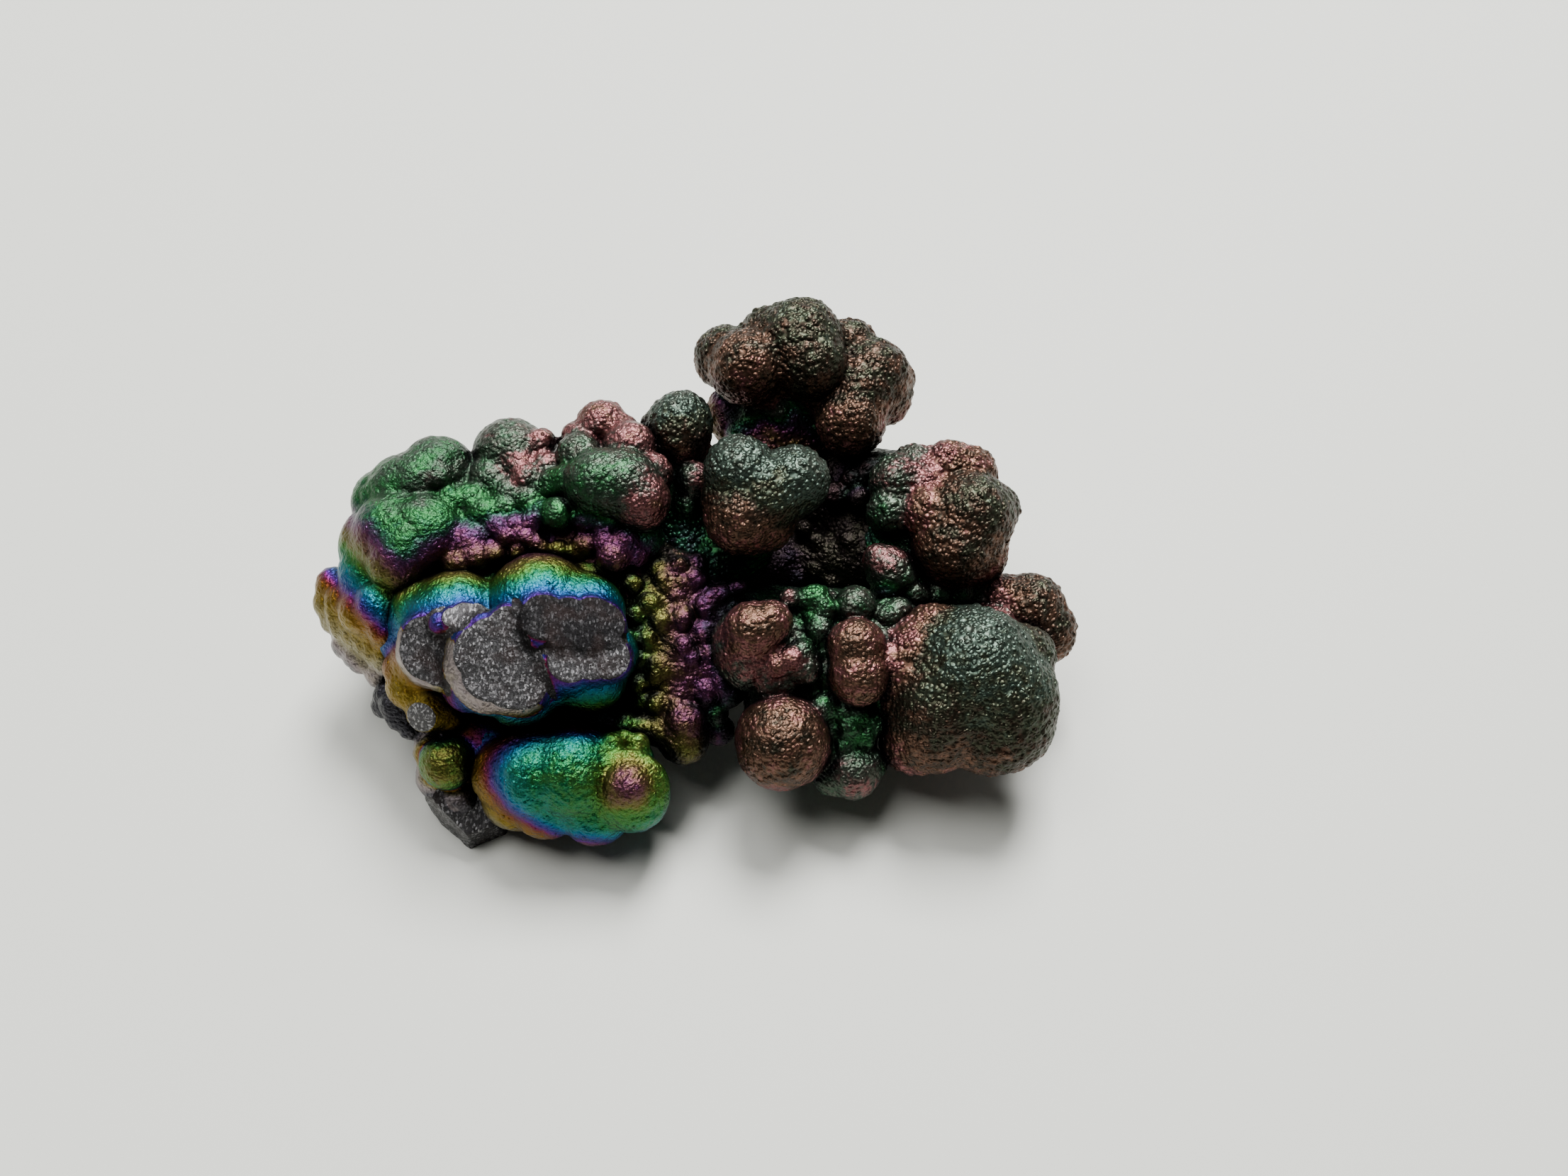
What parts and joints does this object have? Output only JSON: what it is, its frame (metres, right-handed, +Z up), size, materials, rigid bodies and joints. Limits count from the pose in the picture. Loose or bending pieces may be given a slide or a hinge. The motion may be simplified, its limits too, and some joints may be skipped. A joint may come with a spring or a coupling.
{
  "type": "goethite",
  "caption": "Hand specimen of botryoidal goethite: a lumpy mass with snapped columns and knobbly arms reaching out of it, resting on worn flats.",
  "frame": {"origin": "centre of the underside of the specimen's box, on the surface that it rests on", "axes": "+X along its length, from the rainbow mass towards the knobbly arms; +Y away from the viewer, towards the crown of the furthest arm; +Z up from its resting flats"},
  "size_m": [0.0558, 0.0382, 0.0208],
  "materials": {
    "iridescent_goethite": "dark half-metallic botryoidal skin under a rainbow interference film, matt and granular on the arms; grey and sparkling where it is broken"
  },
  "bodies": {
    "root": {"goethite": "iridescent_goethite"}
  },
  "joints": []
}
